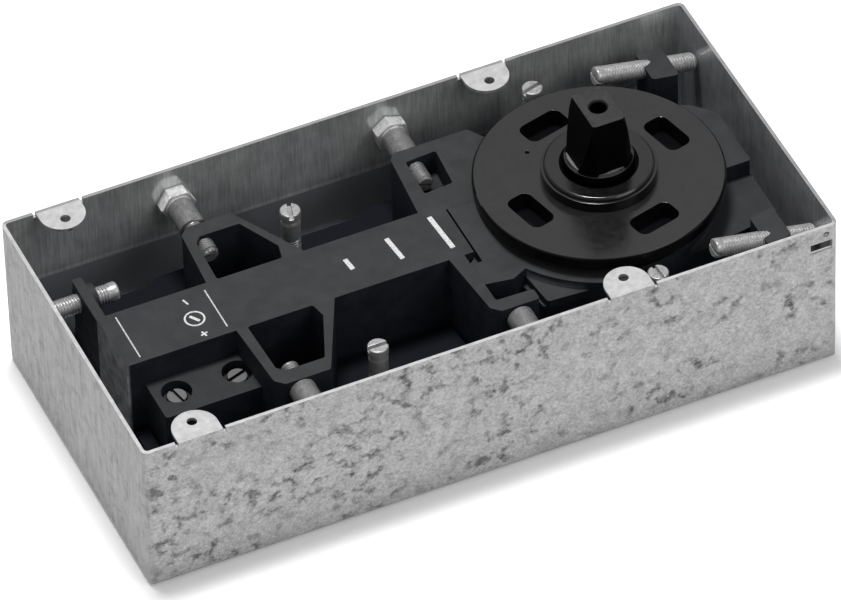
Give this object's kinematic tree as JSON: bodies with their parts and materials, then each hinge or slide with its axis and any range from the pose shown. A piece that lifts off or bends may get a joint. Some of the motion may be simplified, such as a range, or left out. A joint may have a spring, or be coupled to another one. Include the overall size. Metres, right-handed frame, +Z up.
{
  "type": "floor spring",
  "caption": "Hydraulic floor door closer in an open cement box: cast body, cam driven piston and spring, tapered square spindle, speed valves, levelling and centring screws.",
  "frame": {"origin": "middle of the cement box's underside", "axes": "+X along the box towards the spindle, +Y across the box, away from the valve side, +Z up"},
  "size_m": [0.3, 0.145, 0.105],
  "materials": {
    "galvanised_sheet": "hot dipped zinc with a dark spangle",
    "cast_iron_black": "matt charcoal coating over a sand casting",
    "cover_black": "matt charcoal coating on a turned face",
    "spindle_steel": "blackened forged steel",
    "zinc_steel": "bright zinc plate",
    "bearing_steel": "ground",
    "bearing_bronze": "sintered bronze",
    "seal_rubber": "oil seal rubber",
    "spring_steel": "oiled wire",
    "valve_steel": "black oxide"
  },
  "bodies": {
    "root": {"cement_box": "galvanised_sheet", "spring_body": "cast_iron_black", "head_cover": "cover_black", "cover_seal": "seal_rubber", "bearing_collar": "cover_black", "spindle_seal": "seal_rubber", "upper_bearing": "bearing_steel", "lower_bearing": "bearing_bronze", "thrust_washer": "bearing_bronze", "closing_spring": "spring_steel", "cylinder_plug": "cast_iron_black", "plug_seal": "seal_rubber"},
    "spindle": {"spindle": "spindle_steel", "heart_cam": "bearing_steel", "cam_key": "bearing_steel"},
    "piston": {"piston": "bearing_steel", "piston_seal": "seal_rubber", "check_seat": "bearing_bronze", "check_ball": "bearing_steel", "roller_pin": "bearing_steel"},
    "roller": {"cam_roller": "bearing_steel"},
    "closing_valve": {"closing_valve": "valve_steel", "closing_valve_seal": "seal_rubber"},
    "latching_valve": {"latching_valve": "valve_steel", "latching_valve_seal": "seal_rubber"},
    "level_screw_left_near": {"level_screw_left_near": "zinc_steel"},
    "level_screw_left_far": {"level_screw_left_far": "zinc_steel"},
    "level_screw_right_near": {"level_screw_right_near": "zinc_steel"},
    "level_screw_right_far": {"level_screw_right_far": "zinc_steel"},
    "side_adjuster_left_near": {"side_adjuster_left_near": "zinc_steel"},
    "side_adjuster_left_far": {"side_adjuster_left_far": "zinc_steel"},
    "side_adjuster_right_near": {"side_adjuster_right_near": "zinc_steel"},
    "side_adjuster_right_far": {"side_adjuster_right_far": "zinc_steel"},
    "end_adjuster_left": {"end_adjuster_left": "zinc_steel"},
    "end_adjuster_right_near": {"end_adjuster_right_near": "zinc_steel"},
    "end_adjuster_right_far": {"end_adjuster_right_far": "zinc_steel"}
  },
  "joints": [
    {"name": "spindle_turn", "type": "hinge", "parent": "root", "child": "spindle", "pos_m": [0.079, 0, 0.039], "axis": [0, 0, 1], "range_deg": [0, 130], "stiffness_Nm_per_rad": 1.5, "springref_deg": -28.65},
    {"name": "piston_slide", "type": "slide", "parent": "root", "child": "piston", "axis": [-1, 0, 0], "range_m": [0, 0.018], "deforming": ["closing_spring"]},
    {"name": "roller_turn", "type": "hinge", "parent": "piston", "child": "roller", "pos_m": [0.052, 0, 0.039], "axis": [0, 0, 1], "continuous": true},
    {"name": "closing_valve_turn", "type": "hinge", "parent": "root", "child": "closing_valve", "pos_m": [-0.116, -0.024, 0.045], "axis": [0, 0, 1], "range_deg": [-180, 360]},
    {"name": "latching_valve_turn", "type": "hinge", "parent": "root", "child": "latching_valve", "pos_m": [-0.09, -0.024, 0.045], "axis": [0, 0, 1], "range_deg": [-180, 360]},
    {"name": "level_screw_left_near_turn", "type": "hinge", "parent": "root", "child": "level_screw_left_near", "pos_m": [-0.0374, -0.043, 0.03], "axis": [0, 0, 1], "continuous": true},
    {"name": "level_screw_left_far_turn", "type": "hinge", "parent": "root", "child": "level_screw_left_far", "pos_m": [-0.0374, 0.043, 0.03], "axis": [0, 0, 1], "continuous": true},
    {"name": "level_screw_right_near_turn", "type": "hinge", "parent": "root", "child": "level_screw_right_near", "pos_m": [0.077, -0.0595, 0.03], "axis": [0, 0, 1], "continuous": true},
    {"name": "level_screw_right_far_turn", "type": "hinge", "parent": "root", "child": "level_screw_right_far", "pos_m": [0.077, 0.0595, 0.03], "axis": [0, 0, 1], "continuous": true},
    {"name": "side_adjuster_left_near_turn", "type": "hinge", "parent": "root", "child": "side_adjuster_left_near", "pos_m": [-0.0736, -0.055, 0.0582], "axis": [0, -1, 0], "continuous": true},
    {"name": "side_adjuster_left_far_turn", "type": "hinge", "parent": "root", "child": "side_adjuster_left_far", "pos_m": [-0.076, 0.055, 0.0582], "axis": [0, 1, 0], "continuous": true},
    {"name": "side_adjuster_right_near_turn", "type": "hinge", "parent": "root", "child": "side_adjuster_right_near", "pos_m": [0.0204, -0.055, 0.0582], "axis": [0, -1, 0], "continuous": true},
    {"name": "side_adjuster_right_far_turn", "type": "hinge", "parent": "root", "child": "side_adjuster_right_far", "pos_m": [0.018, 0.055, 0.0582], "axis": [0, 1, 0], "continuous": true},
    {"name": "end_adjuster_left_turn", "type": "hinge", "parent": "root", "child": "end_adjuster_left", "pos_m": [-0.129, 0.04, 0.05], "axis": [-1, 0, 0], "continuous": true},
    {"name": "end_adjuster_right_near_turn", "type": "hinge", "parent": "root", "child": "end_adjuster_right_near", "pos_m": [0.1295, -0.0557, 0.05954], "axis": [0.9781, 0, -0.2079], "continuous": true},
    {"name": "end_adjuster_right_far_turn", "type": "hinge", "parent": "root", "child": "end_adjuster_right_far", "pos_m": [0.1295, 0.0557, 0.05954], "axis": [0.9781, 0, -0.2079], "continuous": true}
  ],
  "couplings": [
    {"joint": "piston_slide", "follows": "spindle_turn", "m_per_rad": 0.0079333}
  ]
}
